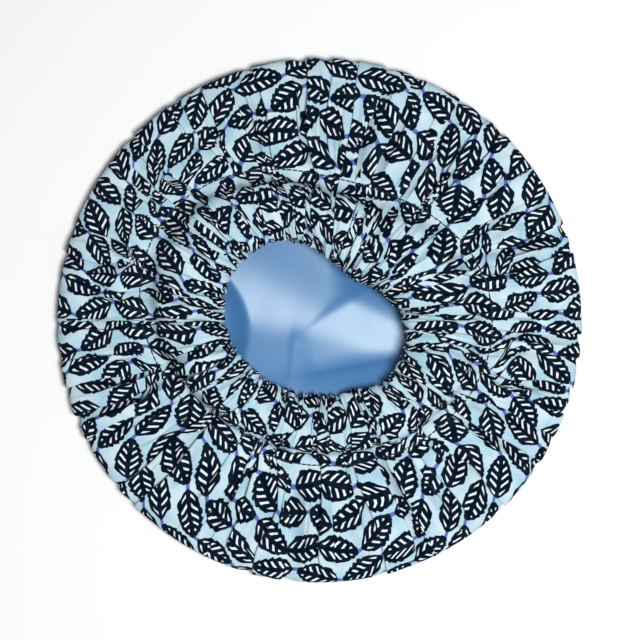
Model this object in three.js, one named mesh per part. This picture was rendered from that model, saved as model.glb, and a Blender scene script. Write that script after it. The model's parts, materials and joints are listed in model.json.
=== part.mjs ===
// A satin-lined hair bonnet, lying flat on its crown with its gathered opening facing up.
//
// Millimetres, +Z up. The origin is the middle of the crown, on the surface that it lies on, and +Y is
// the far side of the opening. A printed outer cloth and a satin lining lie one inside the other. Both run
// out along the surface, round the bonnet's outer fold and back over themselves to the opening. There a row
// of stitches closes a casing between them, and a loop of flat elastic in the casing draws the cloth in.
//
// When the opening is pulled wide, the upper cloth swings up about the outer fold and its gathers spread.
// So above the fold both cloths and the elastic are divided into gores, each of which swings as one.
import * as THREE from "three";

// The bonnet as it lies, from the middle of the opening out to the fold.
const openingRadius = 51.3; // mean radius of the gathered opening
const casingWidth = 52.1; // from the opening to the casing stitches, on the mean
const skirtWidth = 46.6; // from the casing stitches to the start of the outer fold, on the mean
const foldRun = 20; // how far the fold stands out beyond the part of the crown that lies flat
const foldHeight = 18; // loft of the doubled cloth at the outer fold
const stitchHeight = 22; // casing stitches
const rimHeight = 30; // edge of the opening
const rimSlope = THREE.MathUtils.degToRad(16); // rise of the casing from the opening outwards
const saddlePuff = 2; // how far the cloth stands above a straight line from fold to stitches
const casingPuff = 2; // the same, from the stitches to the casing's crest

// How far the opening and the casing stitches stray from circles: off to one side, into an oval and into three
// rounded corners.
const openingShift = 5.8;
const openingOval = 9.4;
const openingCorners = 2.1;
const stitchShift = 3.9;
const stitchOval = 11.2;
const stitchCorners = 2.8;

// One wave round the bonnet, then two, then three, each with its height and the place of its crest in degrees.
const openingWaves = [[openingShift, -156], [openingOval, -52.5], [openingCorners, -17]];
const stitchWaves = [[stitchShift, 135], [stitchOval, -32], [stitchCorners, 60]];

// What it is made of. The cloths are drawn a little thicker than they are.
const outerThickness = 0.6;
const liningThickness = 0.4;
const elasticWidth = 20;
const elasticThickness = 1.2;
const elasticLap = 15; // overlap where the two ends of the elastic are sewn together
const threadDiameter = 0.6;
const lapStitchLength = 14; // of the zigzag row across the lap
const lapStitchWidth = 4;
const lapStitchCount = 6;

// Gathers.
const goreCount = 12;
const pleatsPerGore = 3;
const pleatHeight = 3.2; // from the middle of the cloth to a pleat's top, along the stitches
const pleatUnevenness = 0.2; // share by which pleats are higher or lower than the mean
const unevenWaves = 6; // times that they go from higher to lower round the bonnet

// Room between pieces.
const clearance = 0.3;
const hingeGap = 0.5; // between crown and gores, on the outer fold

// How finely the curves are drawn.
const stepsPerPleat = 4;
const smoothSteps = 4; // across a gore, for what isn't pleated
const crownSteps = 72;
const foldSteps = 4;
const threadSides = 5;

const stitchRadius = openingRadius + casingWidth;
const crownRadius = stitchRadius + skirtWidth; // where the crown leaves the surface
const flatRadius = crownRadius + foldRun; // the outer fold
const goreHalfAngle = Math.PI / goreCount;
const pleatSteps = pleatsPerGore * stepsPerPleat;
const foldMiddle = foldHeight / 2;

// A pleat's height at each station of the profile, as a share of pleatHeight.
const pleatShares = {
  hinge: 0,
  corner: 0.1,
  shoulder: 0.35,
  saddle: 0.7,
  stitch: 1,
  slope: 0.9,
  crest: 0.8,
  rim: 0.6,
  lip: 0.6,
};
const outerStations = Object.keys(pleatShares);
const liningStations = outerStations.filter((station) => station !== "lip");

// Depths below the middle of the outer cloth.
const tallest = pleatHeight * (1 + pleatUnevenness);
const liningGap = outerThickness + clearance;
const elasticDepth = tallest * pleatShares.crest + liningGap;
const lapDepth = elasticDepth + elasticThickness + clearance;
const lapStitchDepth = lapDepth + elasticThickness + clearance + threadDiameter / 2;
const casingDepth = lapStitchDepth + threadDiameter / 2 + clearance;
const elasticEase = tallest * pleatShares.rim + outerThickness + 2 * clearance;
const casingRun = elasticWidth + 2 * elasticEase; // from the rim to the casing's crest
const stitchStandoff = threadDiameter + 2 * clearance; // a groove is steep, so the thread lies this high

const materials = {
  outerCloth: new THREE.MeshStandardMaterial({ color: 0xbddada, roughness: 0.85, metalness: 0 }),
  satin: new THREE.MeshStandardMaterial({ color: 0x8fb1e2, roughness: 0.35, metalness: 0 }),
  elastic: new THREE.MeshStandardMaterial({ color: 0xe6e4dd, roughness: 0.8, metalness: 0 }),
  thread: new THREE.MeshStandardMaterial({ color: 0x10141f, roughness: 0.7, metalness: 0 }),
};

function outlineRadius(mean, waves, angle) {
  let radius = mean;
  waves.forEach(([height, place], index) => {
    radius += height * Math.cos((index + 1) * angle - THREE.MathUtils.degToRad(place));
  });
  return radius;
}

function pleatWave(angle) {
  const uneven = 1 + pleatUnevenness * Math.cos(unevenWaves * angle);
  return uneven * Math.cos(goreCount * pleatsPerGore * angle);
}

// A point on the outer fold, in radius and height: turn is 0 at its outermost and 90 degrees on top.
function foldPoint(turn) {
  return new THREE.Vector2(crownRadius + foldRun * Math.cos(turn), foldMiddle * (1 + Math.sin(turn)));
}

// The middle of the outer cloth above the fold, as a point in radius and height for each station.
function profile(angle) {
  const hinge = foldPoint(Math.asin(hingeGap / 2 / foldMiddle));
  const corner = foldPoint(Math.PI / 4);
  const shoulder = foldPoint(Math.PI / 2);
  const stitch = new THREE.Vector2(outlineRadius(stitchRadius, stitchWaves, angle), stitchHeight);
  const saddle = shoulder.clone().lerp(stitch, 0.5);
  saddle.y += saddlePuff;
  const rim = new THREE.Vector2(outlineRadius(openingRadius, openingWaves, angle), rimHeight);
  const crest = new THREE.Vector2(Math.cos(rimSlope), Math.sin(rimSlope)).multiplyScalar(casingRun).add(rim);
  const slope = stitch.clone().lerp(crest, 0.5);
  slope.y += casingPuff;
  const lip = new THREE.Vector2(rim.x, rim.y - casingDepth);
  return { hinge, corner, shoulder, saddle, stitch, slope, crest, rim, lip };
}

function segmentNormal(from, to) {
  const along = to.clone().sub(from).normalize();
  return new THREE.Vector2(along.y, -along.x);
}

// A station moved out by a distance, so that a moved profile stays parallel to the first one. The hinge
// station keeps its height.
function movedStation(points, station, distance) {
  const index = outerStations.indexOf(station);
  const here = points[station];
  const before = points[outerStations[index - 1]];
  const after = points[outerStations[index + 1]];
  const normals = [];
  if (before) normals.push(segmentNormal(before, here));
  if (after) normals.push(segmentNormal(here, after));
  const level = new THREE.Vector2(1, 0);
  const normal = before ? normals[0].clone().add(normals[normals.length - 1]).normalize() : level;
  const mitre = normal.dot(normals[0]);
  return here.clone().addScaledVector(normal, distance / mitre);
}

// A point in radius and height at an angle from the gore's middle, kept clear of the gores beside it.
function placed(point, localAngle) {
  const kept = 1 - clearance / 2 / (point.x * goreHalfAngle);
  const angle = localAngle * kept;
  return new THREE.Vector3(point.x * Math.cos(angle), point.x * Math.sin(angle), point.y);
}

// A closed sheet between two grids of points, top(row, column) and under(row, column).
function sheetGeometry(rows, columns, top, under) {
  const positions = [];
  for (const face of [top, under]) {
    for (let row = 0; row <= rows; row += 1) {
      for (let column = 0; column <= columns; column += 1) {
        positions.push(...face(row, column).toArray());
      }
    }
  }
  const faceSize = (rows + 1) * (columns + 1);
  const topIndex = (row, column) => row * (columns + 1) + column;
  const underIndex = (row, column) => faceSize + topIndex(row, column);
  const index = [];
  const quad = (a, b, c, d) => index.push(a, b, c, a, c, d);
  for (let row = 0; row < rows; row += 1) {
    for (let column = 0; column < columns; column += 1) {
      const corners = [[row, column], [row, column + 1], [row + 1, column + 1], [row + 1, column]];
      quad(...corners.map((corner) => topIndex(...corner)));
      quad(...corners.reverse().map((corner) => underIndex(...corner)));
    }
  }
  const wall = (a, b) => quad(topIndex(...a), topIndex(...b), underIndex(...b), underIndex(...a));
  for (let column = 0; column < columns; column += 1) {
    wall([0, column + 1], [0, column]);
    wall([rows, column], [rows, column + 1]);
  }
  for (let row = 0; row < rows; row += 1) {
    wall([row, 0], [row + 1, 0]);
    wall([row + 1, columns], [row, columns]);
  }
  const geometry = new THREE.BufferGeometry();
  geometry.setAttribute("position", new THREE.Float32BufferAttribute(positions, 3));
  geometry.setIndex(index);
  geometry.computeVertexNormals();
  return geometry;
}

// A round thread through a row of points.
function threadGeometry(points, steps) {
  const section = new THREE.Shape();
  for (let side = 0; side < threadSides; side += 1) {
    const turn = (2 * Math.PI * side) / threadSides;
    const corner = [(threadDiameter / 2) * Math.cos(turn), (threadDiameter / 2) * Math.sin(turn)];
    if (side === 0) section.moveTo(...corner);
    else section.lineTo(...corner);
  }
  const path = new THREE.CatmullRomCurve3(points);
  return new THREE.ExtrudeGeometry(section, { steps, extrudePath: path, bevelEnabled: false });
}

function mesh(name, geometry, material) {
  const made = new THREE.Mesh(geometry, material);
  made.name = name;
  return made;
}

// The angle from a gore's middle to one of the steps across it.
function stepAngle(step, steps) {
  return goreHalfAngle * ((2 * step) / steps - 1);
}

// The pleated outer cloth of one gore, from the outer fold to the lip that turns into the opening.
function outerGore(middle) {
  const face = (depth) => (row, column) => {
    const angle = stepAngle(column, pleatSteps);
    const station = outerStations[row];
    const lift = pleatHeight * pleatShares[station] * pleatWave(middle + angle);
    return placed(movedStation(profile(middle + angle), station, lift - depth), angle);
  };
  return sheetGeometry(outerStations.length - 1, pleatSteps, face(0), face(outerThickness));
}

// The satin under one gore. It clears the pleats, and makes room for the elastic in the casing.
function liningGore(middle) {
  const roomFor = (station) => {
    const inCasing = station === "crest" || station === "rim";
    return inCasing ? casingDepth : tallest * pleatShares[station] + liningGap;
  };
  const face = (depth) => (row, column) => {
    const angle = stepAngle(column, smoothSteps);
    const station = liningStations[row];
    return placed(movedStation(profile(middle + angle), station, -roomFor(station) - depth), angle);
  };
  return sheetGeometry(liningStations.length - 1, smoothSteps, face(0), face(liningThickness));
}

// A point in the casing: along is measured from the rim towards the crest, depth below the outer cloth.
function casingPoint(middle, angle, along, depth) {
  const { rim, crest } = profile(middle + angle);
  const direction = crest.clone().sub(rim).normalize();
  const down = segmentNormal(rim, crest);
  return placed(rim.clone().addScaledVector(direction, along).addScaledVector(down, depth), angle);
}

// A stretch of the flat elastic. reach is how far it goes to each side of the gore's middle.
function elasticStrip(middle, reach, depth) {
  const face = (under) => (row, column) => {
    const along = elasticEase + elasticWidth * (1 - row);
    return casingPoint(middle, reach * ((2 * column) / smoothSteps - 1), along, depth + under);
  };
  return sheetGeometry(1, smoothSteps, face(0), face(elasticThickness));
}

// How far a length of elastic reaches to each side of a gore's middle, as an angle.
function reachOfLength(middle, length) {
  const middleOfElastic = casingPoint(middle, 0, casingRun / 2, elasticDepth);
  return length / 2 / middleOfElastic.x;
}

// The visible row of stitches, which lies in the groove outside the casing and follows the pleats.
function casingStitch(middle) {
  const points = [];
  for (let step = 0; step <= pleatSteps; step += 1) {
    const angle = stepAngle(step, pleatSteps);
    const lift = pleatHeight * pleatWave(middle + angle) + stitchStandoff;
    points.push(placed(movedStation(profile(middle + angle), "stitch", lift), angle));
  }
  const first = points[0].clone().lerp(points[1], threadDiameter / points[0].distanceTo(points[1]));
  const last = points[pleatSteps].clone();
  last.lerp(points[pleatSteps - 1], threadDiameter / last.distanceTo(points[pleatSteps - 1]));
  return threadGeometry([first, ...points.slice(1, -1), last], 2 * pleatSteps);
}

// The zigzag that sews the lap of the elastic, under the lap.
function lapStitch(middle) {
  const points = [];
  const reach = reachOfLength(middle, lapStitchWidth);
  for (let turn = 0; turn <= lapStitchCount; turn += 1) {
    const along = casingRun / 2 + lapStitchLength * (turn / lapStitchCount - 0.5);
    points.push(casingPoint(middle, turn % 2 ? reach : -reach, along, lapStitchDepth));
  }
  return threadGeometry(points, 4 * lapStitchCount);
}

// A crown that lies on the surface and turns up to the outer fold. inset is how far it lies inside the
// outer face of the bonnet.
function crownGeometry(inset, thickness) {
  const edge = (depth) => {
    const points = [];
    const run = foldRun - depth;
    const rise = foldMiddle - depth;
    const highest = Math.asin((rise - hingeGap / 2) / rise);
    for (let step = 0; step <= foldSteps; step += 1) {
      const turn = (highest * step) / foldSteps;
      const height = foldMiddle - rise * (1 - Math.sin(turn));
      const out = Math.sqrt(1 - (1 - Math.sin(turn)) ** 2);
      points.push(new THREE.Vector2(crownRadius + run * out, height));
    }
    return points;
  };
  const outside = [new THREE.Vector2(0, inset), ...edge(inset)];
  const inside = [...edge(inset + thickness).reverse(), new THREE.Vector2(0, inset + thickness)];
  return new THREE.LatheGeometry([...outside, ...inside], crownSteps).rotateX(Math.PI / 2);
}

function numbered(name, index) {
  return `${name}_${String(index + 1).padStart(2, "0")}`;
}

const bonnet = new THREE.Group();
bonnet.add(mesh("outer_crown", crownGeometry(0, outerThickness), materials.outerCloth));
bonnet.add(mesh("lining_crown", crownGeometry(liningGap, liningThickness), materials.satin));

for (let index = 0; index < goreCount; index += 1) {
  const middle = 2 * goreHalfAngle * index;
  const gore = new THREE.Group();
  gore.rotation.z = middle;
  gore.add(mesh(numbered("outer_gore", index), outerGore(middle), materials.outerCloth));
  gore.add(mesh(numbered("lining_gore", index), liningGore(middle), materials.satin));
  const strip = elasticStrip(middle, goreHalfAngle, elasticDepth);
  gore.add(mesh(numbered("elastic", index), strip, materials.elastic));
  gore.add(mesh(numbered("casing_stitch", index), casingStitch(middle), materials.thread));
  if (index === 0) {
    const lapEnd = elasticStrip(middle, reachOfLength(middle, elasticLap), lapDepth);
    gore.add(mesh("elastic_lap_end", lapEnd, materials.elastic));
    gore.add(mesh("elastic_lap_stitch", lapStitch(middle), materials.thread));
  }
  bonnet.add(gore);
}

export default bonnet;
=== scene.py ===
"""The looks of a satin-lined hair bonnet that lies on its crown with its gathered opening facing up.

Lengths are millimetres until a mesh is made, and angles are radians from +X. The floor, the light and the
camera are in metres. A cloth is a grid of points. Its rows run from the middle of the crown out round the
outer fold and back to the opening, and its columns run across one gore. A row's points come from a section: a
line of control points across the gore, each with an angle and a height above the smooth cloth, which draws
the pleats as they are folded. The stations of the smooth cloth have names, and values that change along it
are given at stations.
"""
import json
import math
from dataclasses import dataclass

import bpy
import numpy as np
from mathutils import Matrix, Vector


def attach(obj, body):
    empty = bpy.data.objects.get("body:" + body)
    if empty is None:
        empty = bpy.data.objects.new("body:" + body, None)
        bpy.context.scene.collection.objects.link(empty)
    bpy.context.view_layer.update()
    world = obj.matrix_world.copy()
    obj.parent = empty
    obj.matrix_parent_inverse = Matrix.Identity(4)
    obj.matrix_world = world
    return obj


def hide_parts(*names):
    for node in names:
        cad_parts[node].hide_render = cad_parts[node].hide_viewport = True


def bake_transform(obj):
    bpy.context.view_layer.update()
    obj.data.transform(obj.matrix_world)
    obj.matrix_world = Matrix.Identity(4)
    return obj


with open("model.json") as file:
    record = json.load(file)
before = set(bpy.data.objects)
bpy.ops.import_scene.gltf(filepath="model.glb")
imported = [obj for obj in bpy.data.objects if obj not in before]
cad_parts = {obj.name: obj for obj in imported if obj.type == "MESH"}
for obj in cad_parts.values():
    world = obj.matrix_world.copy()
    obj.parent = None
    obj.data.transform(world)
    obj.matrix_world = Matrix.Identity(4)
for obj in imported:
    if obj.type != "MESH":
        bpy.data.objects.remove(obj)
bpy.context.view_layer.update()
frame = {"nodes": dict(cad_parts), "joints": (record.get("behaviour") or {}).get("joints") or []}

MM = 0.001
SEED = 11
rng = np.random.default_rng(SEED)

# The laid bonnet, as its solids have it. The waves of an outline turn once, twice and three times round the
# bonnet, and each has a height and a phase in degrees.
OPENING_RADIUS = 51.3
CASING_WIDTH = 52.1
SKIRT_WIDTH = 46.6
FOLD_RUN = 20.0
FOLD_HEIGHT = 18.0
STITCH_HEIGHT = 21.4
CREST_HEIGHT = 36.6
CREST_RUN = 26.0
OPENING_WAVES = [(5.8, -156), (9.4, -52.5), (2.1, -17)]
STITCH_WAVES = [(3.9, 135), (11.2, -32), (2.8, 60)]
STITCH_RADIUS = OPENING_RADIUS + CASING_WIDTH
CROWN_RADIUS = STITCH_RADIUS + SKIRT_WIDTH
FLAT_RADIUS = CROWN_RADIUS + FOLD_RUN
GORE_COUNT = 12
HALF_GORE = math.pi / GORE_COUNT

# The casing's own rise and fall round the bonnet: a mean, and waves with their turns, height and phase.
CASING_RISE = 3
CASING_WAVES = [(2, 1.3, -0.9), (3, 0.9, 2.0), (5, 0.6, 0.4)]

# The swing of the gores, and the heights between which a cloth bends from the crown into its gore.
SWING = frame["joints"][0]
HINGE_RADIUS = math.hypot(*SWING["pos_m"][:2]) / MM
HINGE_HEIGHT = SWING["pos_m"][2] / MM
FULL_SWING = math.radians(SWING["range_deg"][1])
BEND_FROM = 1.5
BEND_TO = 12.0

# Cloth, and the columns of points from one control point of a section to the next.
COTTON_THICKNESS = 0.35
SATIN_THICKNESS = 0.3
COLUMNS_PER_CONTROL = 3
CUT_MAP = "cut_cloth"

# The phase of a wave is drawn from about one turn.
PHASES = (0, 6.3)

# Stations of the smooth outer cloth: a name, a fixed radius, shares of the opening's and the stitch line's
# radius, a height, and a share of the casing's own rise and fall. The outer fold's stations, a turn in
# degrees apart, lie between the two lists.
CENTRE_RADIUS = 0.05
CROWN_STATIONS = [
    ("centre", CENTRE_RADIUS, 0, 0, 0, 0),
    ("half", CROWN_RADIUS / 2, 0, 0, 0, 0),
    ("near", CROWN_RADIUS - FOLD_RUN / 2, 0, 0, 0, 0),
]
FOLD_TURN = 15
FOLD_NAMES = {-90: "flat", 0: "side", 90: "shoulder"}
TOP_STATIONS = [
    ("saddle", CROWN_RADIUS / 2, 0, 0.5, 21.6, 0),
    ("foot", 7, 0, 1, 22.6, 0),
    ("stitch", 0, 0, 1, STITCH_HEIGHT, 0.1),
    ("heel", -7, 0, 1, 24.0, 0.25),
    ("slope", CREST_RUN / 2, 0.5, 0.5, 32.5, 0.7),
    ("crest", CREST_RUN, 1, 0, CREST_HEIGHT, 1),
    ("fall", 12, 1, 0, 35.2, 1),
    ("brow", 3.4, 1, 0, 31.6, 0.8),
    ("nose", 0, 1, 0, 27.6, 0.7),
    ("under", 1.4, 1, 0, 24.2, 0.6),
    ("end", 7, 1, 0, 22.8, 0.5),
]

# Soft unevenness of a cloth that was handled: waves whose length is a multiple of their height.
LUMP_LENGTHS = (62, 47, 35, 27, 21)
LUMP_LENGTH_TO_HEIGHT = 110

# Borders between the gores: how far and over what length a fold edge sways, and how far a gore reaches under
# its neighbour, as a share of the gap that opens there and a spare length.
EDGE_SWAY = (2, 5)
EDGE_SWAY_LENGTH = (70, 110)
OVERLAP_SHARE = 1.12
OVERLAP_SPARE = 2.2
DEEP_LAP_RISE = 4.0
DEEP_LAP_SLIP = 8.0

# A fold's section from the panel on top to the panel below: shares of the panel's width, of the fold's
# overlap and of the gap between its layers, and how far a point spreads, in panels, where the fold begins.
FOLD_SECTION = [
    (-0.25, 0, 0.18, -0.04),
    (-0.03, 0, 0.16, -0.15),
    (0, 0, -0.12, -0.09),
    (0, -0.5, -0.4, -0.03),
    (0, -1, -0.55, 0.03),
    (0, -0.4, -0.8, 0.09),
    (0.1, 0, -0.8, 0.12),
    (0.4, 0, -0.15, 0.04),
]
FOLD_DEPTHS = [0.6, 0.75, 0.9, 1.1, 1.4, 1.7]
FOLD_OVERLAPS = [("side", 0), ("saddle", 5), ("stitch", 6.5), ("crest", 4.5), ("nose", 2)]
FOLD_OVERLAP_VARIES = (0.6, 1.2)
FOLD_SHIFT = (-0.15, 0.15)
FOLD_SWAY = (1, 2.5)
FOLD_SWAY_LENGTH = (60, 100)

# Kinds of folds: along the whole gore, from the outer fold to the stitch line, or in the casing alone, with a
# share of the overlap. A fold starts near the side or the heel and opens over a length, and a skirt fold
# closes from before the foot to the stitch line. The gores at the front of the picture lie calmer.
THROUGH, SKIRT, CASING = range(3)
FOLD_SHARE = {THROUGH: 1.25, SKIRT: 0.5, CASING: 0.55}
PAST_SIDE = (-15, 6)
PAST_SIDE_LENGTH = 15
PAST_HEEL = (-2, 8)
PAST_HEEL_LENGTH = 16
BEFORE_FOOT = (6, 14)
CALM_GORES = (8, 9, 10)

# The puffed panels between the folds.
PUFF_HEIGHTS = [
    ("side", 0),
    ("shoulder", 1.8),
    ("saddle", 3.4),
    ("foot", 1.4),
    ("stitch", 0),
    ("slope", 2.3),
    ("brow", 1.5),
    ("nose", 1.1),
    ("under", 0),
]
PUFF_VARIES = (0.4, 1.2)

# The ends of a gore, in the same columns as a fold. An end lies in a valley at the opening and, on the deep
# lap, is raised: each point takes shares of these.
LIP_SECTION = [
    (-0.25, 0, 0.18, 0),
    (-0.03, 0, 0.16, 0),
    (0, 0, -0.12, 0),
    (0, -0.5, -0.4, 0),
    (0, -1, -0.5, 0),
]
LIP_RAISED = (0.4, 0.9, 1, 1, 0.9)
LIP_VALLEY = (0.1, 0.8, 1, 1, 1)
LIP_RETURN = 3.0
LIP_GROWTH = [("side", 0.1), ("shoulder", 1)]
TUCK_SECTION = [
    (-0.4, 0, -0.1, 0),
    (-0.1, 0, -0.7, 0),
    (0, 0.25, -1, 0),
    (0, 0.6, -1, 0),
    (0, 1, -1, 0),
]
TUCK_VALLEY = (0.1, 0.7, 1, 1, 1)
TUCK_DEPTH = 1.05
VALLEY_DEPTHS = [("fall", 0), ("brow", 0.4), ("nose", 1.4), ("under", 0.5), ("end", 0)]

# Fine gathers at the opening and puckers at the stitch line, with the lengths of their waves.
GATHER_HEIGHTS = [("crest", 0), ("fall", 0.45), ("brow", 0.6), ("nose", 0.45), ("end", 0.3)]
GATHER_LENGTHS = (3.4, 4.6, 6.0, 7.7)
PUCKER_HEIGHT = 0.22
PUCKER_WIDTH = 5
PUCKER_LENGTHS = (5.0, 7.1)

# How much more cloth than the model shows is drawn in towards the opening.
DRAWN_IN = [("crest", 1), ("nose", 1.6)]

# The outer cloth's rows, as a first station, a last station and a step, and the depths of its folds.
OUTER_SPANS = [
    ("centre", "near", 20),
    ("near", "flat", 4),
    ("flat", "shoulder", 1.8),
    ("shoulder", "foot", 1.8),
    ("foot", "heel", 0.8),
    ("heel", "fall", 1.5),
    ("fall", "end", 0.8),
]
OUTER_GAPS = [
    ("flat", 0),
    ("side", 2.0),
    ("shoulder", 4.2),
    ("saddle", 4.8),
    ("foot", 3.6),
    ("stitch", 2.0),
    ("slope", 3.2),
    ("crest", 2.6),
    ("brow", 2.2),
    ("nose", 2.0),
    ("end", 1.2),
]

# The lining's gores: how far they reach in under the crown's edge, their rows, how deep they lie below the
# outer cloth, their folds and the depths of these, a share of the fine gathers, and how far the gores slope
# down past their borders.
LINING_REACH = 18
LINING_FROM = CROWN_RADIUS - LINING_REACH
LINING_SPANS = [("near", "shoulder", 3), ("shoulder", "brow", 2.5)]
LINING_INSETS = [
    ("flat", 0.8),
    ("side", 3),
    ("shoulder", 7.5),
    ("saddle", 9.5),
    ("stitch", 8.5),
    ("slope", 9.5),
    ("crest", 10),
    ("brow", 8),
]
LINING_FOLDS = 4
LINING_GAPS = [("flat", 0), ("side", 0.5), ("shoulder", 0.9), ("brow", 1.0)]
LINING_RIPPLE = 0.4
LINING_LEAN = [("stitch", 0), ("slope", 1)]

# The crown of the lining lies on the cloth below it, and its edge dips to meet the gores. Its grid is finer
# in the middle, where a step is a share of an even one.
LINING_LOW = 1.4
LINING_DIP = 0.6
LINING_GRID = 201
LINING_MIDDLE = 0.6
EDGE_MARGIN = 2
LINING_EDGE = CROWN_RADIUS - EDGE_MARGIN
DIP_FROM = LINING_FROM + EDGE_MARGIN

# Its folds, by the lines that they follow. A facet climbs or falls to the left of its line, with a slope and
# a softness, and a crease has a height, a width on its left and on its right, and a fade past its ends. The
# back and the corner meet with a sharpness, and the shoulder starts over a stretch of x.
BACK_LINE = ((-60, 34.5), (3, 3.5))
BACK_FACET = (0.21, 6)
CORNER_LINE = ((3, 3.5), (37, 23.5))
CORNER_FACET = (0.38, 1.2)
FACET_JOIN = 3
TROUGH_LINE = ((-60, 1), (60, -24))
ABOVE_TROUGH = (0.03, 6)
BELOW_TROUGH = (0.27, 4)
SHOULDER_LINE = ((21, 14.5), (51, 1.5))
SHOULDER_FACET = (0.4, 3)
SHOULDER_FROM = (4, 26)
GROOVE_LINE = ((0, -32), (56, -22))
GROOVE_FACET = (0.25, 3)
GROOVE_CREASE = (-1.2, 12, 3, 8)
DENT_LINE = ((-16, -15), (-18, -36))
DENT_CREASE = (0.8, 8, 3, 8)

# A bowed strip along the left rim, which falls at its edge and climbs again.
STRIP_EDGE = -45.8
STRIP_BOW = 0.011
STRIP_MIDDLE = -8
STRIP_WIDTH = 12
STRIP_FALL = (0.8, 0.9)
STRIP_CLIMB = (0.9, 5)

# The plane that the folds stand on, the most that they rise, the slope and softness that keep them between
# zero and that, a share of the cloth's unevenness, and where the folds fade towards the outer fold.
PLANE_HEIGHT = 8
PLANE_SLOPE_X = 0.046
PLANE_SLOPE_Y = 0.026
FOLDS_TOP = 20
FOLDS_LIMIT = (1, 2)
FOLDS_LUMPS = 0.15
FOLDS_FADE = (64, 108)

# Casing stitches: short dark threads along the groove. A stitch is a tube of rings, each at a share of its
# length and with a share of its diameter.
STITCH_LENGTH = 3.3
STITCH_STEP = 3.6
STITCH_DIAMETER = 1.0
STITCH_LIFT = 0.3
STITCH_SIDES = 6
STITCH_RINGS = [(0, 0.35), (0.12, 0.85), (0.5, 1), (0.88, 0.85), (1, 0.35)]

# The height of weaves and ribs, in metres. Each noise has a scale per metre and a detail.
BUMP_DISTANCE = 0.0001

# The print: leaves in a half-drop repeat. Lengths are on the flat cloth.
LEAF_COLUMN = 17.2
LEAF_ROW = 31.6
LEAF_LENGTH = 31.0
LEAF_WIDTH = 17.4
LEAF_TILT = math.radians(15)
LEAF_BLUNTNESS = 0.8
LEAF_TAPER = 0.18
TOOTH = 1.6
VEIN_STEP = 5.2
VEIN_SLANT = 0.9
VEIN_WIDTH = 1.7
VEIN_FROM = 1.5
VEIN_MARGIN = 2.7
STEM_LENGTH = 8.0
STEM_WIDTH = 2.4
STEM_IN_LEAF = 0.8
LEAF_SHIFT = STEM_LENGTH / 4
PRINT_EDGE = 0.3
AQUA = (0.37, 0.59, 0.70, 1)
PALE_AQUA = (0.60, 0.755, 0.825, 1)
NAVY = (0.0005, 0.006, 0.017, 1)
WORN_NAVY = (0.006, 0.014, 0.028, 1)
WHITE = (0.80, 0.88, 0.93, 1)
PERIWINKLE = (0.12, 0.16, 0.50, 1)

# The cotton: how its print wobbles, its ground is washed out and its dark ink is worn, then its weave and
# its gloss.
WOBBLE_NOISE = (260.0, 1.0)
WASH_NOISE = (55.0, 2.0)
WASH_RANGE = (0.35, 0.65)
WEAR_NOISE = (140.0, 3.0)
WEAR_RANGE = (0.4, 0.7)
COTTON_PITCH = 0.55
COTTON_WEAVE = 0.25
THREAD_TONE = 0.05
COTTON_ROUGHNESS = 0.8
COTTON_ROUGHNESS_VARIES = 0.12
COTTON_GLOSS = 0.03

# The satin: two tones, its gloss, and a weave whose long floats are a pitch drawn out along the cloth.
SATIN_DARK = (0.056, 0.195, 0.44, 1)
SATIN_LIGHT = (0.074, 0.23, 0.485, 1)
SATIN_NOISE = (30.0, 3.0)
SATIN_GLOSS = (0.9, 0.96, 0.86, 1)
SATIN_REFRACTION = 1.8
SATIN_ROUGHNESS = 0.42
SATIN_PITCH = 0.5
SATIN_FLOAT = 0.3
SATIN_WEAVE = 0.08

# The elastic and the thread: a dark and a light tone, the pitch of the ribs and a roughness.
ELASTIC_TONES = ((0.62, 0.6, 0.55, 1), (0.86, 0.85, 0.8, 1))
ELASTIC_PITCH = 6.0
ELASTIC_ROUGHNESS = 0.8
THREAD_TONES = ((0.006, 0.009, 0.02, 1), (0.03, 0.035, 0.06, 1))
THREAD_PITCH = 3.0
THREAD_ROUGHNESS = 0.65
RIB_DISTORTION = 1.5
RIB_HEIGHT = 0.3
RIB_NOISE = (900.0, 2.0)

# Floor, light and camera, in metres. The picture's places are pixels.
FLOOR_SIZE = 8.0
FLOOR_HEIGHT = -0.0004
FLOOR_COLOUR = (0.9, 0.9, 0.9, 1)
FLOOR_ROUGHNESS = 0.9
KEY_PLACE = (0.3, -0.2, 1.56)
KEY_SIZE = 0.45
KEY_POWER = 25.3
WORLD_COLOUR = (1, 1, 1, 1)
WORLD_LIGHT = 0.2
WORLD_SHOWN = 1.0
CAMERA_HEIGHT = 1.6
PICTURE_HALF = 320
PICTURE_MIDDLE = 319.5
DISC_PIXELS = 262
DISC_MIDDLE = (319, 320)


def smooth_step(low, high, value):
    share = np.clip((np.asarray(value, float) - low) / (high - low), 0, 1)
    return share * share * (3 - 2 * share)


def outline(mean, waves, angle):
    """The radius of a wavy outline."""
    radius = mean + 0 * angle
    for turns, (height, phase) in enumerate(waves, 1):
        radius = radius + height * np.cos(turns * angle - math.radians(phase))
    return radius


def casing_lift(angle):
    """How far the casing's crest lies above its named height, round the bonnet."""
    lift = CASING_RISE
    for turns, height, phase in CASING_WAVES:
        lift = lift + height * np.cos(turns * angle + phase)
    return lift


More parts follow.
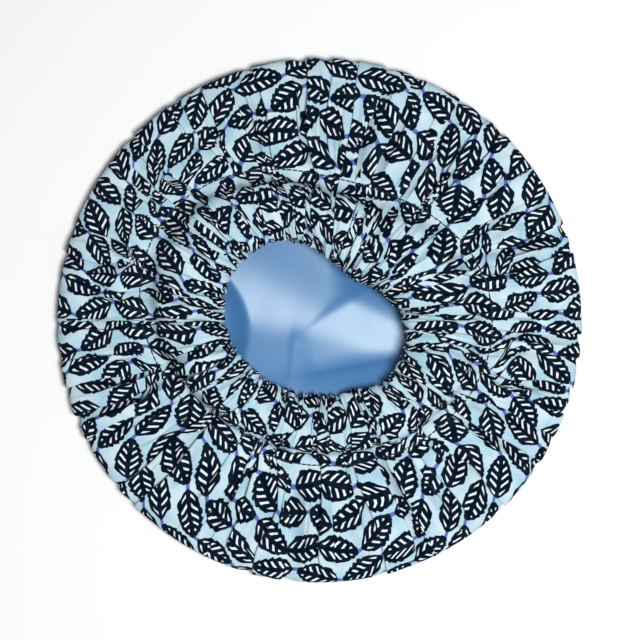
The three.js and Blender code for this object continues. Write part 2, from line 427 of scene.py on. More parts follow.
def spline_basis(knots, at):
    """Matrices that turn values at the knots into a smooth curve's values and slopes at the places in at."""
    knots = np.asarray(knots, float)
    count = len(knots)
    tangents = np.zeros((count, count))
    for index in range(count):
        before, after = max(index - 1, 0), min(index + 1, count - 1)
        span = knots[after] - knots[before]
        tangents[index, after] += 1 / span
        tangents[index, before] -= 1 / span
    segment = np.clip(np.searchsorted(knots, at, side="right") - 1, 0, count - 2)
    step = (knots[segment + 1] - knots[segment])[:, None]
    share = ((at - knots[segment]) / step[:, 0])[:, None]
    here, there = np.eye(count)[segment], np.eye(count)[segment + 1]
    leave, arrive = tangents[segment] * step, tangents[segment + 1] * step
    values = (
        (2 * share**3 - 3 * share**2 + 1) * here
        + (share**3 - 2 * share**2 + share) * leave
        + (3 * share**2 - 2 * share**3) * there
        + (share**3 - share**2) * arrive
    )
    slopes = (
        (6 * share**2 - 6 * share) * (here - there)
        + (3 * share**2 - 4 * share + 1) * leave
        + (3 * share**2 - 2 * share) * arrive
    ) / step
    return values, slopes


class Profile:
    """The smooth outer cloth from the middle of the crown to the hem inside the opening."""

    def __init__(self):
        stations = list(CROWN_STATIONS)
        for turn in range(-90, 91, FOLD_TURN):
            run = FOLD_RUN * math.cos(math.radians(turn))
            rise = FOLD_HEIGHT / 2 * (1 + math.sin(math.radians(turn)))
            stations.append((FOLD_NAMES.get(turn, ""), CROWN_RADIUS + run, 0, 0, rise, 0))
        stations += TOP_STATIONS
        names = [name for name, *_ in stations]
        table = np.array([numbers for _, *numbers in stations])
        self.fixed, self.opening, self.stitch, self.height, self.lift = table.T
        radius = self.fixed + self.opening * OPENING_RADIUS + self.stitch * STITCH_RADIUS
        steps = np.hypot(np.diff(radius), np.diff(self.height))
        self.along = np.concatenate([[0], np.cumsum(steps)])
        self.at = {name: place for name, place in zip(names, self.along) if name}

    def points(self, along, angle):
        """Radius, height and the outward normal's two parts for rows of angles."""
        opening = outline(OPENING_RADIUS, OPENING_WAVES, angle)
        stitch = outline(STITCH_RADIUS, STITCH_WAVES, angle)
        lift = casing_lift(angle)
        parts = []
        for basis in spline_basis(self.along, along):
            parts.append(
                (basis @ self.fixed)[:, None]
                + (basis @ self.opening)[:, None] * opening
                + (basis @ self.stitch)[:, None] * stitch
            )
            parts.append((basis @ self.height)[:, None] + (basis @ self.lift)[:, None] * lift)
        radius, height, run, rise = parts
        length = np.hypot(run, rise)
        return radius, height, rise / length, -run / length

    def at_angle(self, along, angle):
        """Radius and height of every row at one angle."""
        radius, height, _, _ = self.points(along, np.full((len(along), 1), angle))
        return radius[:, 0], height[:, 0]


profile = Profile()
AT = profile.at


def rows_between(*spans):
    """Places along the profile: each span is a first station, a last station and a step."""
    places = []
    for first, last, step in spans:
        low, high = AT[first], AT[last]
        count = max(1, round((high - low) / step))
        places.extend(np.linspace(low, high, count, endpoint=False))
    places.append(AT[spans[-1][1]])
    return np.array(places)


def along_rows(along, stops):
    """Values along the profile, from pairs of a station's name and a value."""
    places = [AT[name] for name, value in stops]
    return np.interp(along, places, [value for name, value in stops])


def lump_waves():
    """The waves' heights, wave numbers in x and y, and phases."""
    waves = []
    for length in LUMP_LENGTHS:
        turn = rng.uniform(0, 2 * math.pi)
        number = 2 * math.pi / length
        height = length / LUMP_LENGTH_TO_HEIGHT
        waves.append((height, number * math.cos(turn), number * math.sin(turn), rng.uniform(*PHASES)))
    return waves


LUMP_WAVES = lump_waves()


def lumps(x, y):
    total = 0 * x
    for height, number_x, number_y, phase in LUMP_WAVES:
        total = total + height * np.sin(number_x * x + number_y * y + phase)
    return total


def row_turn(along, height):
    """How far each row of the blended cloth turns at full swing."""
    turn = FULL_SWING * smooth_step(BEND_FROM, BEND_TO, height)
    return np.where(along > AT["shoulder"], FULL_SWING, turn)


def spread(along, angle):
    """How far two gores part at full swing, where they meet, from the turn of the blended cloth."""
    radius, height = profile.at_angle(along, angle)
    turn = row_turn(along, height)
    out = radius * math.cos(HALF_GORE) - HINGE_RADIUS
    up = height - HINGE_HEIGHT
    moved = out * np.cos(turn) + up * np.sin(turn) - out
    return 2 * np.clip(moved, 0, None) * math.sin(HALF_GORE)


class Border:
    """Where two gores meet. On side 1 the gore before it lies on top, and on side -1 the next one."""

    def __init__(self, index, side, rise=0.0, slip=0.0):
        self.angle = (2 * index + 1) * HALF_GORE
        self.side = side
        self.rise = rise
        self.slip = slip
        self.sway = rng.uniform(*EDGE_SWAY)
        self.phase = rng.uniform(0, 2 * math.pi)
        self.length = rng.uniform(*EDGE_SWAY_LENGTH)

    def edge(self, along):
        """Angle of the visible fold edge from the gores' meeting line, along the profile."""
        radius, _ = profile.at_angle(along, self.angle)
        wander = self.sway * np.sin(2 * math.pi * along / self.length + self.phase)
        fade = smooth_step(AT["side"], AT["saddle"], along)
        fade = fade * (1 - smooth_step(AT["crest"], AT["nose"], along))
        slip = self.side * self.slip * smooth_step(AT["heel"], AT["crest"], along)
        return (wander * fade + slip) / radius

    def raised(self, along):
        """How far the gore on top stands up along its edge."""
        grown = smooth_step(AT["stitch"], AT["crest"], along)
        return self.rise * grown * (1 - smooth_step(AT["fall"], AT["nose"], along))

    def overlap(self, along):
        """Angle by which the gore below reaches under its neighbour, so that no gap opens at full swing."""
        radius, _ = profile.at_angle(along, self.angle)
        reach = OVERLAP_SHARE * spread(along, self.angle) + OVERLAP_SPARE
        return reach / radius


# The lap at 15 degrees is the deep overlap at the right of the opening.
borders = [Border(0, 1, rise=DEEP_LAP_RISE, slip=DEEP_LAP_SLIP)]
for number in range(1, GORE_COUNT):
    borders.append(Border(number, int(rng.choice([-1, 1]))))


@dataclass
class Layer:
    """What differs between the outer cloth and the lining. Arrays have a value for each row."""

    # Places of the rows along the profile, and how deep they lie below it.
    along: np.ndarray
    inset: np.ndarray
    # Kinds of folds in a gore, also in a calm one, the depth of a fold, and a share of the fine gathers.
    kinds: list
    calm_kinds: list
    gap: np.ndarray
    ripple: float
    # Past a gore's borders: how far rows slope down, and how far they stay out of the opening.
    lean: np.ndarray
    held_back: np.ndarray


def gore_middle(index):
    return 2 * index * HALF_GORE


def placed_section(section, side, place, panel, overlap, gap, soft=0.0):
    """Control points of a section at a place, mirrored where side is -1."""
    points = []
    for across, over, up, spread_by in section:
        points.append((place + side * ((across + spread_by * soft) * panel + over * overlap), up * gap))
    return points if side > 0 else points[::-1]


def fold_growth(kind, along):
    """How far a fold of a kind has opened, from 0 to 1 along the profile."""
    if kind == CASING:
        start = AT["heel"] + rng.uniform(*PAST_HEEL)
        return smooth_step(start, start + PAST_HEEL_LENGTH, along)
    start = AT["side"] + rng.uniform(*PAST_SIDE)
    grown = smooth_step(start, start + PAST_SIDE_LENGTH, along)
    if kind == SKIRT:
        grown = grown * (1 - smooth_step(AT["foot"] - rng.uniform(*BEFORE_FOOT), AT["stitch"], along))
    return grown


def lap_end(layer, border, outward, place, panel, radius):
    """Control points of a gore's end: on top of its neighbour or tucked under it."""
    along = layer.along
    valley = along_rows(along, VALLEY_DEPTHS)
    if border.side != outward:
        depth = TUCK_DEPTH * layer.gap
        points = placed_section(TUCK_SECTION, outward, place, panel, border.overlap(along), depth)
        shifts = [share * -valley for share in TUCK_VALLEY]
    else:
        turned_under = LIP_RETURN * along_rows(along, LIP_GROWTH)
        points = placed_section(LIP_SECTION, outward, place, panel, turned_under / radius, layer.gap)
        raised = border.raised(along)
        shifts = [share * raised - low * valley for share, low in zip(LIP_RAISED, LIP_VALLEY)]
    return [(angle, height + shift) for (angle, height), shift in zip(points, shifts[::outward])]


def gore_section(layer, index):
    """Rows of control angles and heights across one gore."""
    along = layer.along
    radius, _ = profile.at_angle(along, gore_middle(index))
    kinds = rng.permutation(layer.calm_kinds if index in CALM_GORES else layer.kinds)
    count = len(kinds)
    panel = 2 * HALF_GORE / (count + 1)
    puff = along_rows(along, PUFF_HEIGHTS)
    full = along_rows(along, FOLD_OVERLAPS)
    swaying = smooth_step(AT["side"], AT["saddle"], along)

    before, after = borders[index - 1], borders[index]
    points = lap_end(layer, before, -1, before.edge(along) - HALF_GORE, panel, radius)
    for number, kind in enumerate(kinds):
        points.append(((number + 0.5) * panel - HALF_GORE + 0 * along, puff * rng.uniform(*PUFF_VARIES)))
        place = (number + 1 + rng.uniform(*FOLD_SHIFT)) * panel - HALF_GORE
        sway = rng.uniform(*FOLD_SWAY)
        wave = np.sin(2 * math.pi * along / rng.uniform(*FOLD_SWAY_LENGTH) + rng.uniform(*PHASES))
        place = place + sway * wave * swaying / radius
        grown = fold_growth(kind, along)
        overlap = full * FOLD_SHARE[kind] * grown**2 * rng.uniform(*FOLD_OVERLAP_VARIES) / radius
        gap = layer.gap * np.sqrt(grown) * rng.choice(FOLD_DEPTHS)
        side = int(rng.choice([-1, 1]))
        points += placed_section(FOLD_SECTION, side, place, panel, overlap, gap, soft=(1 - grown) ** 0.5)
    points.append(((count + 0.5) * panel - HALF_GORE + 0 * along, puff * rng.uniform(*PUFF_VARIES)))
    points += lap_end(layer, after, 1, after.edge(along) + HALF_GORE, panel, radius)

    angles = np.stack([angle for angle, height in points], 1)
    heights = np.stack([height for angle, height in points], 1)
    even = np.linspace(-HALF_GORE, HALF_GORE, angles.shape[1])[None, :]
    folded = smooth_step(AT["flat"], AT["side"], along)[:, None]
    return even * (1 - folded) + angles * folded, heights * folded


def ripples(across, lengths):
    """A sum of waves, whose heights together are about one."""
    height = 0 * across
    for length in lengths:
        height = height + np.sin(2 * math.pi * across / length + rng.uniform(*PHASES))
    return height / math.sqrt(len(lengths))


def cloth_place(layer, rows, angle, lift, middle):
    """Radius and height of a gore's points, from their angles off the gore's middle and their lift.

    Past its borders a gore that leans runs straight on and slopes down, to lie along its neighbour at full
    swing. Where it is held back, it stays out of the opening at rest.
    """
    along = layer.along[rows]
    radius, height, out, up = profile.points(along, middle + angle)
    at_border = profile.points(along, middle + np.clip(angle, -HALF_GORE, HALF_GORE))[0]
    radius = radius + layer.held_back[rows, None] * np.maximum(at_border - radius, 0)
    turn = row_turn(along, height.mean(axis=1))[:, None]
    past = layer.lean[rows, None] * np.maximum(np.abs(angle) - HALF_GORE, 0) * radius
    inward = math.sin(HALF_GORE) * past
    radius = np.hypot(radius + out * lift, past) + inward * (1 - np.cos(turn))
    return radius, height + up * lift - inward * np.sin(turn)


def gore_points(layer, index):
    """A gore's points, and their angles off the gore's middle and lifts."""
    along = layer.along
    angles, heights = gore_section(layer, index)
    controls = angles.shape[1]
    columns = np.linspace(0, controls - 1, (controls - 1) * COLUMNS_PER_CONTROL + 1)
    basis, _ = spline_basis(np.arange(controls), columns)
    angle = angles @ basis.T
    lift = heights @ basis.T
    gathers = along_rows(along, GATHER_HEIGHTS)
    puckers = np.exp(-(((along - AT["stitch"]) / PUCKER_WIDTH) ** 2))
    lift = lift + layer.ripple * gathers[:, None] * ripples(angle * OPENING_RADIUS, GATHER_LENGTHS)
    pucker_height = PUCKER_HEIGHT * layer.ripple
    lift = lift + pucker_height * puckers[:, None] * ripples(angle * STITCH_RADIUS, PUCKER_LENGTHS)
    middle = gore_middle(index)
    radius = profile.points(along, middle + angle)[0]
    shown = smooth_step(AT["side"], AT["saddle"], along)[:, None]
    uneven = lumps(radius * np.cos(middle + angle), radius * np.sin(middle + angle))
    lift = lift + shown * uneven - layer.inset[:, None]
    radius, height = cloth_place(layer, slice(None), angle, lift, middle)
    points = np.stack([radius * np.cos(middle + angle), radius * np.sin(middle + angle), height], -1)
    return points, angle, lift


def cut_places(layer, index, points):
    """Where each point lies on the flat disc that the cloth was cut from."""
    along = layer.along
    steps = np.linalg.norm(np.diff(points, axis=1), axis=2)
    across = np.concatenate([np.zeros((len(along), 1)), np.cumsum(steps, axis=1)], 1)
    across = across - across[:, across.shape[1] // 2][:, None]
    drawn_in = along_rows(along, DRAWN_IN)
    turn = gore_middle(index) + across * drawn_in[:, None] / np.maximum(along, CENTRE_RADIUS)[:, None]
    return np.stack([along[:, None] * np.cos(turn), along[:, None] * np.sin(turn)], -1)


def mesh_piece(name, points, faces, material):
    """A smooth piece from points in millimetres."""
    mesh = bpy.data.meshes.new(name)
    mesh.from_pydata((points * MM).tolist(), [], faces)
    mesh.polygons.foreach_set("use_smooth", np.ones(len(mesh.polygons), bool))
    mesh.materials.append(material)
    piece = bpy.data.objects.new(name, mesh)
    bpy.context.scene.collection.objects.link(piece)
    return piece


def grid_piece(name, points, places, material):
    """A piece of quads from a grid of points, with the flat cloth's places as a UV map in metres."""
    rows, columns = points.shape[:2]
    number = np.arange(rows * columns).reshape(rows, columns)
    quads = np.stack([number[:-1, :-1], number[:-1, 1:], number[1:, 1:], number[1:, :-1]], -1).reshape(-1, 4)
    piece = mesh_piece(name, points.reshape(-1, 3), quads.tolist(), material)
    mesh = piece.data
    cut_map = mesh.uv_layers.new(name=CUT_MAP)
    corners = np.empty(len(mesh.loops), np.int32)
    mesh.loops.foreach_get("vertex_index", corners)
    cut_map.uv.foreach_set("vector", (places.reshape(-1, 2)[corners] * MM).astype(np.float32).ravel())
    mesh.update()
    return piece


def thicken(piece, thickness):
    solid = piece.modifiers.new("thickness", "SOLIDIFY")
    solid.thickness = thickness * MM
    solid.offset = -1


class Nodes:
    """Short calls for making and joining the nodes of one material."""

    def __init__(self, name):
        self.material = bpy.data.materials.new(name)
        self.material.use_nodes = True
        self.tree = self.material.node_tree
        self.shader = self.tree.nodes["Principled BSDF"]

    def join(self, source, socket):
        if isinstance(source, bpy.types.NodeSocket):
            self.tree.links.new(source, socket)
        else:
            socket.default_value = source

    def make(self, kind, inputs=(), **settings):
        node = self.tree.nodes.new(kind)
        for key, value in settings.items():
            setattr(node, key, value)
        for key, source in dict(inputs).items():
            self.join(source, node.inputs[key])
        return node

    def math(self, operation, *sources):
        return self.make("ShaderNodeMath", dict(enumerate(sources)), operation=operation).outputs[0]

    def mix(self, share, first, second):
        # The colours of this node are its inputs 6 and 7 and its output 2.
        node = self.make("ShaderNodeMix", data_type="RGBA")
        self.join(share, node.inputs[0])
        self.join(first, node.inputs[6])
        self.join(second, node.inputs[7])
        return node.outputs[2]

    def noise(self, place, scale, detail):
        return self.make("ShaderNodeTexNoise", {"Vector": place, "Scale": scale, "Detail": detail}).outputs

    def rise(self, source, low, high):
        """0 where the source is below low, 1 where it is above high."""
        return self.make("ShaderNodeMapRange", {0: source, 1: low, 2: high}).outputs[0]

    def mask(self, inside, edge):
        """1 where inside is above 0, with an edge of the given width."""
        return self.rise(inside, -edge / 2, edge / 2)

    def bump(self, height, strength):
        inputs = {"Height": height, "Strength": strength, "Distance": BUMP_DISTANCE}
        return self.make("ShaderNodeBump", inputs).outputs[0]

    def cut_cloth(self):
        """The place on the flat cloth, and its two lengths in millimetres."""
        place = self.make("ShaderNodeUVMap", uv_map=CUT_MAP).outputs[0]
        parts = self.make("ShaderNodeSeparateXYZ", {0: place}).outputs
        return place, [self.math("MULTIPLY", parts[part], 1 / MM) for part in (0, 1)]

    def finish(self, **sockets):
        for name, source in sockets.items():
            self.join(source, self.shader.inputs[name.replace("_", " ")])
        return self.material


def weave(nodes, across, along, pitch):
    """The height of a plain weave, with its thread pitch in millimetres."""
    warp = nodes.math("SINE", nodes.math("MULTIPLY", across, 2 * math.pi / pitch))
    weft = nodes.math("SINE", nodes.math("MULTIPLY", along, 2 * math.pi / pitch))
    return nodes.math("MULTIPLY", warp, weft)


def in_cells(nodes, length, size):
    """The number of the cell that a length lies in, and how far it lies past the cell's middle."""
    cell = nodes.math("FLOOR", nodes.math("DIVIDE", length, size))
    middle = nodes.math("MULTIPLY", nodes.math("ADD", cell, 0.5), size)
    return cell, nodes.math("SUBTRACT", length, middle)


def leaf_place(nodes, along, across):
    """How far a point lies from its leaf's middle, towards the tip and to a side."""
    column, from_middle = in_cells(nodes, across, LEAF_COLUMN)
    odd_column = nodes.math("FLOORED_MODULO", column, 2.0)
    dropped = nodes.math("ADD", along, nodes.math("MULTIPLY", odd_column, LEAF_ROW / 2))
    row, up_cell = in_cells(nodes, dropped, LEAF_ROW)
    odd_row = nodes.math("FLOORED_MODULO", row, 2.0)
    facing = nodes.math("MULTIPLY_ADD", odd_column, -2.0, 1.0)
    lean = nodes.math("MULTIPLY_ADD", odd_row, -2.0, 1.0)

    cosine = math.cos(LEAF_TILT)
    sine = nodes.math("MULTIPLY", lean, math.sin(LEAF_TILT))
    up_part = nodes.math("MULTIPLY", up_cell, cosine)
    tip = nodes.math("ADD", up_part, nodes.math("MULTIPLY", from_middle, sine))
    tip = nodes.math("SUBTRACT", nodes.math("MULTIPLY", tip, facing), LEAF_SHIFT)
    side_part = nodes.math("MULTIPLY", from_middle, cosine)
    side = nodes.math("SUBTRACT", side_part, nodes.math("MULTIPLY", up_cell, sine))
    return tip, nodes.math("ABSOLUTE", side)


def leaf_masks(nodes, tip, side):
    """Where a leaf, its veins and its stem are printed."""
    share = nodes.math("DIVIDE", tip, LEAF_LENGTH / 2)
    belly = nodes.math("MAXIMUM", nodes.math("SUBTRACT", 1.0, nodes.math("MULTIPLY", share, share)), 0.0)
    belly = nodes.math("POWER", belly, LEAF_BLUNTNESS)
    belly = nodes.math("MULTIPLY", belly, nodes.math("MULTIPLY_ADD", share, -LEAF_TAPER, 1.0))
    inside = nodes.math("SUBTRACT", nodes.math("MULTIPLY", belly, LEAF_WIDTH / 2), side)
    slanted = nodes.math("SUBTRACT", tip, nodes.math("MULTIPLY", side, VEIN_SLANT))
    in_step = nodes.math("SUBTRACT", nodes.math("FLOORED_MODULO", slanted, VEIN_STEP), VEIN_STEP / 2)
    teeth = nodes.math("MULTIPLY", in_step, -TOOTH / VEIN_STEP)
    leaf = nodes.math("ADD", inside, nodes.math("MULTIPLY", teeth, belly))

    vein = nodes.math("SUBTRACT", VEIN_WIDTH / 2, nodes.math("ABSOLUTE", in_step))
    vein = nodes.math("MINIMUM", vein, nodes.math("SUBTRACT", side, VEIN_FROM))
    vein = nodes.math("MINIMUM", vein, nodes.math("SUBTRACT", inside, VEIN_MARGIN))

    stem_middle = LEAF_LENGTH / 2 + STEM_LENGTH / 2 - STEM_IN_LEAF
    from_stem = nodes.math("ABSOLUTE", nodes.math("ADD", tip, stem_middle))
    stem = nodes.math("SUBTRACT", STEM_LENGTH / 2, from_stem)
    stem = nodes.math("MINIMUM", stem, nodes.math("SUBTRACT", STEM_WIDTH / 2, side))
    return [nodes.mask(form, PRINT_EDGE) for form in (leaf, vein, stem)]


def printed_cotton():
    nodes = Nodes("printed_cotton")
    place, lengths = nodes.cut_cloth()
    wobble = nodes.make("ShaderNodeSeparateColor", {0: nodes.noise(place, *WOBBLE_NOISE)["Color"]})
    along, across = [
        nodes.math("ADD", length, nodes.math("SUBTRACT", wobble.outputs[part], 0.5))
        for part, length in enumerate(lengths)
    ]
    leaf, vein, stem = leaf_masks(nodes, *leaf_place(nodes, along, across))
    threads = weave(nodes, across, along, COTTON_PITCH)
    tone = nodes.noise(place, *WASH_NOISE)[0]
    wash = nodes.math("ADD", nodes.rise(tone, *WASH_RANGE), nodes.math("MULTIPLY", threads, THREAD_TONE))
    wear = nodes.rise(nodes.noise(place, *WEAR_NOISE)[0], *WEAR_RANGE)
    colour = nodes.mix(wash, AQUA, PALE_AQUA)
    colour = nodes.mix(stem, colour, PERIWINKLE)
    colour = nodes.mix(leaf, colour, nodes.mix(wear, NAVY, WORN_NAVY))
    colour = nodes.mix(vein, colour, WHITE)
    roughness = nodes.math("MULTIPLY_ADD", tone, COTTON_ROUGHNESS_VARIES, COTTON_ROUGHNESS)
    nodes.shader.inputs["Specular IOR Level"].default_value = COTTON_GLOSS
    bump = nodes.bump(threads, COTTON_WEAVE)
    return nodes.finish(Base_Color=colour, Roughness=roughness, Normal=bump)


def satin():
    nodes = Nodes("satin")
    place, (across, along) = nodes.cut_cloth()
    threads = weave(nodes, across, nodes.math("MULTIPLY", along, SATIN_FLOAT), SATIN_PITCH)
    colour = nodes.mix(nodes.noise(place, *SATIN_NOISE)[0], SATIN_DARK, SATIN_LIGHT)
    nodes.shader.inputs["Specular Tint"].default_value = SATIN_GLOSS
    nodes.shader.inputs["IOR"].default_value = SATIN_REFRACTION
    bump = nodes.bump(threads, SATIN_WEAVE)
    return nodes.finish(Base_Color=colour, Roughness=SATIN_ROUGHNESS, Normal=bump)


def ribbed_cloth(name, tones, pitch, roughness):
    """A thread or a woven elastic: fine ribs that follow the piece."""
    nodes = Nodes(name)
    place = nodes.make("ShaderNodeTexCoord").outputs["Object"]
    inputs = {"Vector": place, "Scale": 1 / (pitch * MM), "Distortion": RIB_DISTORTION}
    ribs = nodes.make("ShaderNodeTexWave", inputs).outputs[1]
    share = nodes.math("MULTIPLY", ribs, nodes.noise(place, *RIB_NOISE)[0])
    colour = nodes.mix(share, *tones)
    return nodes.finish(Base_Color=colour, Roughness=roughness, Normal=nodes.bump(ribs, RIB_HEIGHT))


COTTON = printed_cotton()
SATIN = satin()
ELASTIC = ribbed_cloth("woven_elastic", ELASTIC_TONES, ELASTIC_PITCH, ELASTIC_ROUGHNESS)
THREAD = ribbed_cloth("dark_thread", THREAD_TONES, THREAD_PITCH, THREAD_ROUGHNESS)


def numbered(name, index):
    return f"{name}_{index + 1:02d}"


def gore_cloth(layer, name, index, material, thickness):
    """A cloth's piece in one gore, which bends from the crown into it, and its columns' angles and lifts."""
    points, angle, lift = gore_points(layer, index)
    cloth = grid_piece(numbered(name, index), points, cut_places(layer, index, points), material)
    thicken(cloth, thickness)
    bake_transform(cloth)
    return cloth, angle, lift


# Outer cloth: each piece is a sector of one disc, from the middle of the crown to the hem in the opening.
OUTER_ROWS = rows_between(*OUTER_SPANS)
outer_layer = Layer(
    along=OUTER_ROWS,
    inset=0 * OUTER_ROWS,
    kinds=[THROUGH, THROUGH, SKIRT, CASING],
    calm_kinds=[THROUGH, SKIRT, CASING],
    gap=along_rows(OUTER_ROWS, OUTER_GAPS),
    ripple=1.0,
    lean=1 + 0 * OUTER_ROWS,
    held_back=smooth_step(AT["crest"], AT["brow"], OUTER_ROWS),
)

outer_columns = []
for number in range(GORE_COUNT):
    cloth, *columns = gore_cloth(outer_layer, "outer_cloth", number, COTTON, COTTON_THICKNESS)
    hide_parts(numbered("outer_gore", number))
    outer_columns.append(columns)
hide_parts("outer_crown")


# Lining: gores under the outer cloth, which reach in under the edge of a crown that lies in the bonnet.
LINING_ROWS = np.concatenate([[LINING_FROM], rows_between(*LINING_SPANS)])
LINING_ROWS = np.unique(np.maximum(LINING_ROWS, LINING_FROM))
lining_layer = Layer(
    along=LINING_ROWS,
    inset=along_rows(LINING_ROWS, LINING_INSETS),
    kinds=[THROUGH] * LINING_FOLDS,
    calm_kinds=[THROUGH] * LINING_FOLDS,
    gap=along_rows(LINING_ROWS, LINING_GAPS),
    ripple=LINING_RIPPLE,
    lean=along_rows(LINING_ROWS, LINING_LEAN),
    held_back=0 * LINING_ROWS,
)

for number in range(GORE_COUNT):
    cloth, *_ = gore_cloth(lining_layer, "lining_cloth", number, SATIN, SATIN_THICKNESS)
    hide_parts(numbered("lining_gore", number))


def from_line(x, y, line):
    """How far a point lies to the left of a line, and how far past its ends."""
    start, end = line
    run = np.subtract(end, start).astype(float)
    length = np.hypot(*run)
    run /= length
    on = (x - start[0]) * run[0] + (y - start[1]) * run[1]
    off = (y - start[1]) * run[0] - (x - start[0]) * run[1]
    return off, np.maximum(np.maximum(-on, on - length), 0)


def crease(x, y, line, height, left, right, fade):
    """A soft ridge or groove along a line."""
    off, past = from_line(x, y, line)
    width = np.where(off > 0, left, right)
    return height * np.exp(-((off / width) ** 2) - (past / fade) ** 2)


def slope_from(off, slope, soft):
    """A height that is level before a line and climbs past it, with a bend of the given softness."""
    return slope * soft * np.logaddexp(0, off / soft)


def lining_height(x, y):
    """The satin's height inside the bonnet: broad facets as it lies, flat towards the outer fold."""
    above_trough, _ = from_line(x, y, TROUGH_LINE)
    back = slope_from(from_line(x, y, BACK_LINE)[0], *BACK_FACET)
    corner = slope_from(from_line(x, y, CORNER_LINE)[0], *CORNER_FACET)
    height = -((back**-FACET_JOIN + corner**-FACET_JOIN) ** (-1 / FACET_JOIN))
    height = height + slope_from(above_trough, *ABOVE_TROUGH) + slope_from(-above_trough, *BELOW_TROUGH)
    shoulder = slope_from(from_line(x, y, SHOULDER_LINE)[0], *SHOULDER_FACET)
    height = height - shoulder * smooth_step(*SHOULDER_FROM, x)
    height = height + slope_from(from_line(x, y, GROOVE_LINE[::-1])[0], *GROOVE_FACET)
    past_strip = STRIP_EDGE - STRIP_BOW * (y - STRIP_MIDDLE) ** 2 - x
    height = height - slope_from(past_strip, *STRIP_FALL) + slope_from(past_strip - STRIP_WIDTH, *STRIP_CLIMB)
    height = height + crease(x, y, GROOVE_LINE, *GROOVE_CREASE)
    height = height + crease(x, y, DENT_LINE, *DENT_CREASE)
    height = slope_from(PLANE_HEIGHT + PLANE_SLOPE_Y * y - PLANE_SLOPE_X * x + height, *FOLDS_LIMIT)
    height = height - slope_from(height - FOLDS_TOP, *FOLDS_LIMIT) + FOLDS_LUMPS * lumps(x, y)
    return LINING_LOW + height * (1 - smooth_step(*FOLDS_FADE, np.hypot(x, y)))


def lining_crown():
    """A square grid drawn into a disc, so that it has no seam and no middle point."""
    share = np.linspace(-1, 1, LINING_GRID)
    share = share * (LINING_MIDDLE + (1 - LINING_MIDDLE) * share**2)
    across, along = np.meshgrid(share, share)
    x = LINING_EDGE * across * np.sqrt(1 - along**2 / 2)
    y = LINING_EDGE * along * np.sqrt(1 - across**2 / 2)
    dip = LINING_DIP * smooth_step(DIP_FROM, LINING_EDGE, np.hypot(x, y))
    points = np.stack([x, y, lining_height(x, y) - dip], -1)
    return grid_piece("lining_cloth_crown", points, np.stack([x, y], -1), SATIN)


crown_cloth = lining_crown()
thicken(crown_cloth, SATIN_THICKNESS)
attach(crown_cloth, "crown")
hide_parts("lining_crown")


# The row of the outer cloth that the casing stitches lie on, and what keeps a division by zero away.
STITCH_ROW = int(np.argmin(np.abs(OUTER_ROWS - AT["stitch"])))
TINY = 1e-12


def top_lift(angle, angles, lifts):
    """The highest of the folded layers at an angle, or None where there is no layer."""
    low = np.minimum(angles[:-1], angles[1:])
    high = np.maximum(angles[:-1], angles[1:])
    crossing = np.nonzero((low <= angle) & (angle <= high))[0]
    if not len(crossing):
        return None
    share = (angle - angles[crossing]) / (angles[crossing + 1] - angles[crossing] + TINY)
    return float(np.max(lifts[crossing] + share * (lifts[crossing + 1] - lifts[crossing])))


def stitch_ring(middle, angle, lift, size):
    """The points of a ring round a thread that lies on the cloth."""
    one_row = slice(STITCH_ROW, STITCH_ROW + 1)
    at = np.array([[angle]])
    radius, height = cloth_place(outer_layer, one_row, at, lift + STITCH_LIFT, middle)
    _, _, out, up = profile.points(OUTER_ROWS[one_row], middle + at)
    points = []
    for side in range(STITCH_SIDES):
        turn = 2 * math.pi * side / STITCH_SIDES
        off = size * STITCH_DIAMETER / 2 * math.sin(turn)
        slip = size * STITCH_DIAMETER / 2 * math.cos(turn)
        at_radius = (radius + out * off + up * slip).item()
        at_height = (height + up * off - out * slip).item()
        points.append((at_radius * math.cos(middle + angle), at_radius * math.sin(middle + angle), at_height))
    return points


def stitch_faces(first):
    """The faces of a closed tube whose rings of points start at the point first."""
    faces = []
    here = first
    for _ in STITCH_RINGS[1:]:
        there = here + STITCH_SIDES
        for side in range(STITCH_SIDES):
            following = (side + 1) % STITCH_SIDES
            faces.append((here + side, here + following, there + following, there + side))
        here = there
    faces.append(tuple(first + side for side in reversed(range(STITCH_SIDES))))
    faces.append(tuple(here + side for side in range(STITCH_SIDES)))
    return faces


def stitch_row(index):
    """The stitches of one gore, between its two fold edges."""
    angles, lifts = [column[STITCH_ROW] for column in outer_columns[index]]
    left = borders[index - 1].edge(OUTER_ROWS)[STITCH_ROW] - HALF_GORE
    right = borders[index].edge(OUTER_ROWS)[STITCH_ROW] + HALF_GORE
    count = int((right - left) * STITCH_RADIUS / STITCH_STEP)
    points, faces = [], []
    for stitch in range(count):
        start = left + (stitch + 0.5) * (right - left) / count - STITCH_LENGTH / 2 / STITCH_RADIUS
        places = [start + share * STITCH_LENGTH / STITCH_RADIUS for share, size in STITCH_RINGS]
        tops = [top_lift(angle, angles, lifts) for angle in places]
        if None in tops:
            continue
        faces += stitch_faces(len(points))
        for angle, top, (share, size) in zip(places, tops, STITCH_RINGS):
            points += stitch_ring(gore_middle(index), angle, top, size)
    return mesh_piece(numbered("casing_thread", index), np.array(points), faces, THREAD)


for number in range(GORE_COUNT):
    stitches = stitch_row(number)
    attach(stitches, numbered("gore", number))
    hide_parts(numbered("casing_stitch", number))


def dress(node, material):
    solid = frame["nodes"][node]
    solid.data.materials.clear()
    solid.data.materials.append(material)


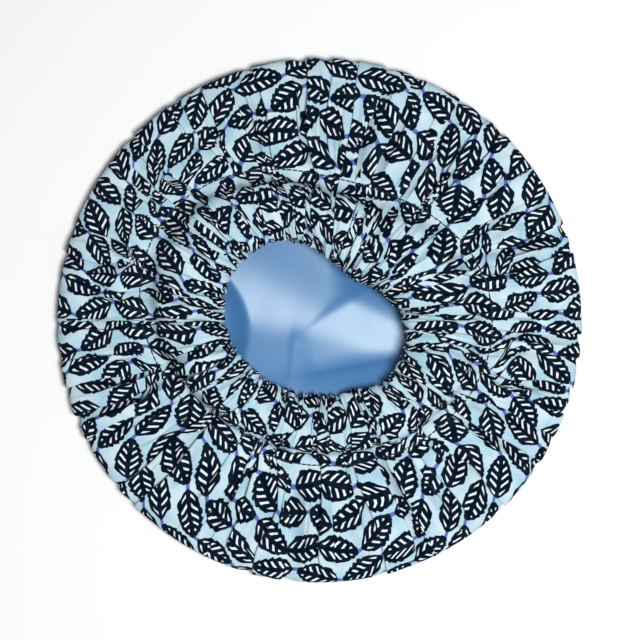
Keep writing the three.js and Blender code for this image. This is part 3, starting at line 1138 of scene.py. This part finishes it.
for number in range(GORE_COUNT):
    dress(numbered("elastic", number), ELASTIC)
dress("elastic_lap_end", ELASTIC)
dress("elastic_lap_stitch", THREAD)


def make_floor():
    nodes = Nodes("pale_floor")
    bpy.ops.mesh.primitive_plane_add(size=FLOOR_SIZE, location=(0, 0, FLOOR_HEIGHT))
    floor = bpy.context.object
    floor.name = "floor"
    floor.data.materials.append(nodes.finish(Base_Color=FLOOR_COLOUR, Roughness=FLOOR_ROUGHNESS))


def make_light(name, place, size, power):
    lamp = bpy.data.lights.new(name, "AREA")
    lamp.size = size
    lamp.energy = power
    light = bpy.data.objects.new(name, lamp)
    light.location = place
    light.rotation_euler = (-Vector(place)).to_track_quat("-Z", "Y").to_euler()
    bpy.context.scene.collection.objects.link(light)


def make_world():
    """A white surround that lights the bonnet less than it shows."""
    world = bpy.data.worlds.new("studio")
    world.use_nodes = True
    tree = world.node_tree
    background = tree.nodes["Background"]
    path = tree.nodes.new("ShaderNodeLightPath")
    strength = tree.nodes.new("ShaderNodeMapRange")
    strength.inputs["To Min"].default_value = WORLD_LIGHT
    strength.inputs["To Max"].default_value = WORLD_SHOWN
    tree.links.new(path.outputs["Is Camera Ray"], strength.inputs["Value"])
    tree.links.new(strength.outputs[0], background.inputs["Strength"])
    background.inputs["Color"].default_value = WORLD_COLOUR
    bpy.context.scene.world = world


def make_camera():
    """A camera straight above, with the bonnet as large and at the same place as in the picture."""
    camera = bpy.data.objects.new("camera", bpy.data.cameras.new("camera"))
    pixel = FLAT_RADIUS * MM / DISC_PIXELS
    camera.location = (
        (PICTURE_MIDDLE - DISC_MIDDLE[0]) * pixel,
        (DISC_MIDDLE[1] - PICTURE_MIDDLE) * pixel,
        CAMERA_HEIGHT,
    )
    half_width = PICTURE_HALF * pixel / (CAMERA_HEIGHT - FOLD_HEIGHT / 2 * MM)
    camera.data.lens = camera.data.sensor_width / 2 / half_width
    bpy.context.scene.collection.objects.link(camera)
    bpy.context.scene.camera = camera


make_floor()
make_light("key", KEY_PLACE, KEY_SIZE, KEY_POWER)
make_world()
make_camera()
bpy.context.scene.view_settings.view_transform = "Standard"
